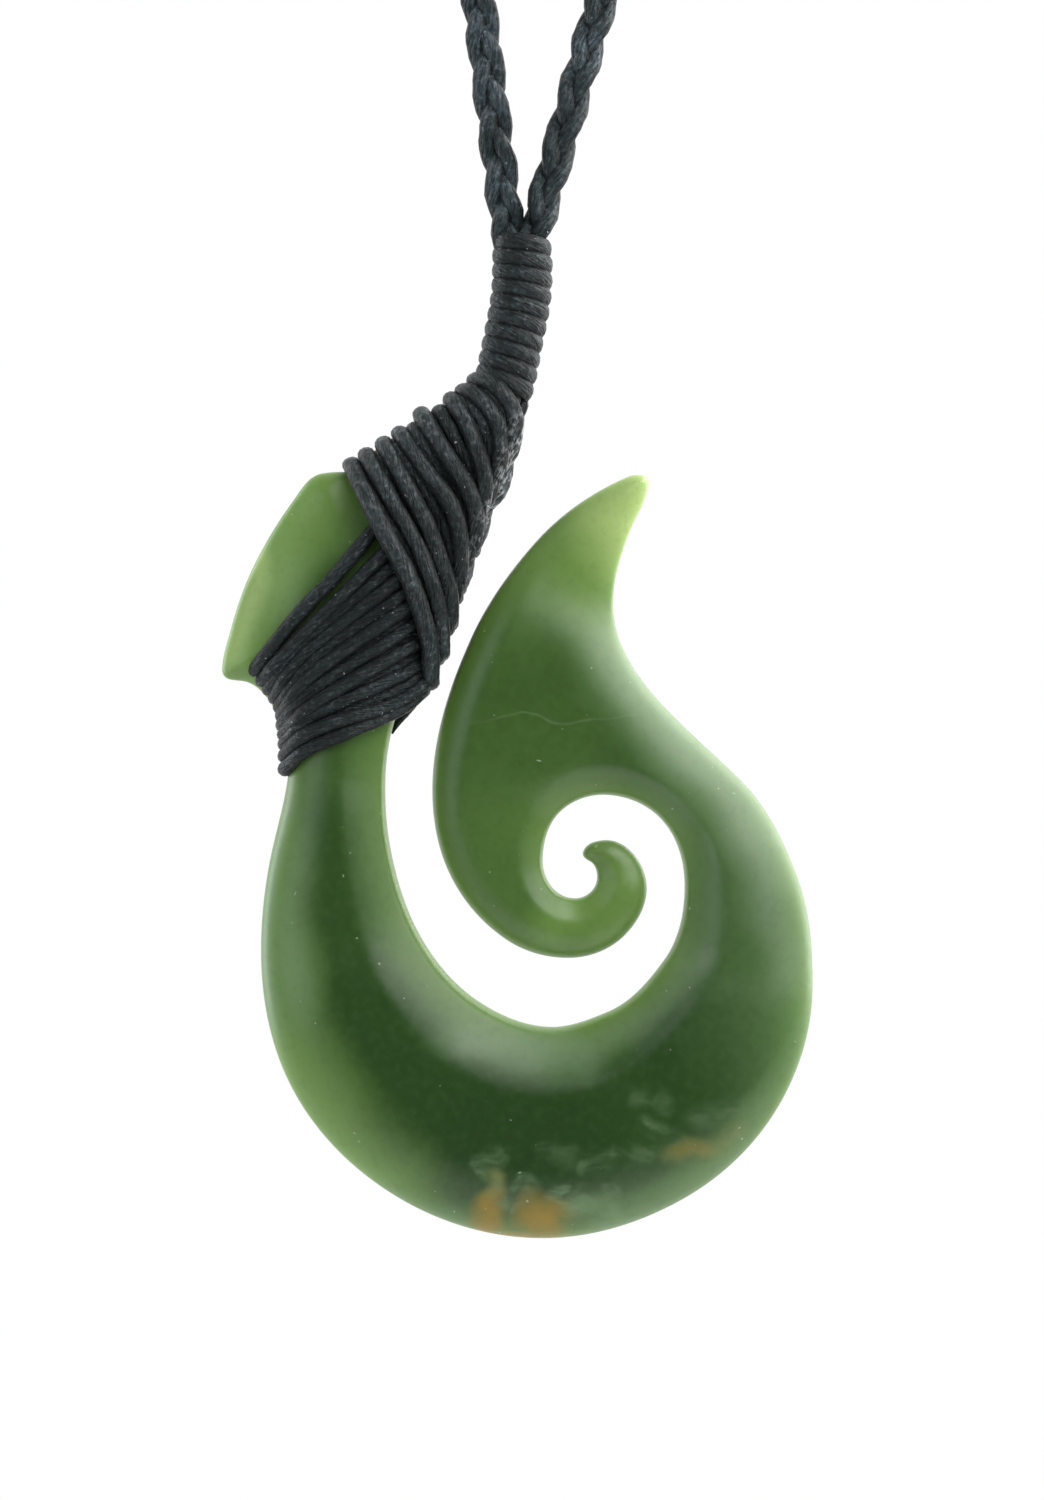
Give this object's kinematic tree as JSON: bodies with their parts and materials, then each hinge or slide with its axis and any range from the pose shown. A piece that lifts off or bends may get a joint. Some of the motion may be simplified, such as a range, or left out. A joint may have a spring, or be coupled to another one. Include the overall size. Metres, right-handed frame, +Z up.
{
  "type": "hei matau pendant",
  "caption": "Carved greenstone fish-hook pendant with an inner curl, lashed with waxed cord to a plaited neck loop that passes over the head.",
  "frame": {"origin": "underside of the neck cord's highest point, where it lies on the nape", "axes": "+Z up, the pendant hangs towards -Z, its front faces -Y and +X is to the right seen from the front"},
  "size_m": [0.1039, 0.0108, 0.3709],
  "materials": {
    "greenstone": "polished",
    "waxed_cord": "waxed"
  },
  "bodies": {
    "root": {"hook": "greenstone", "lower_lashing": "waxed_cord", "upper_lashing": "waxed_cord", "tail_plait": "waxed_cord", "neck_whipping": "waxed_cord", "neck_cord": "waxed_cord"}
  },
  "joints": []
}
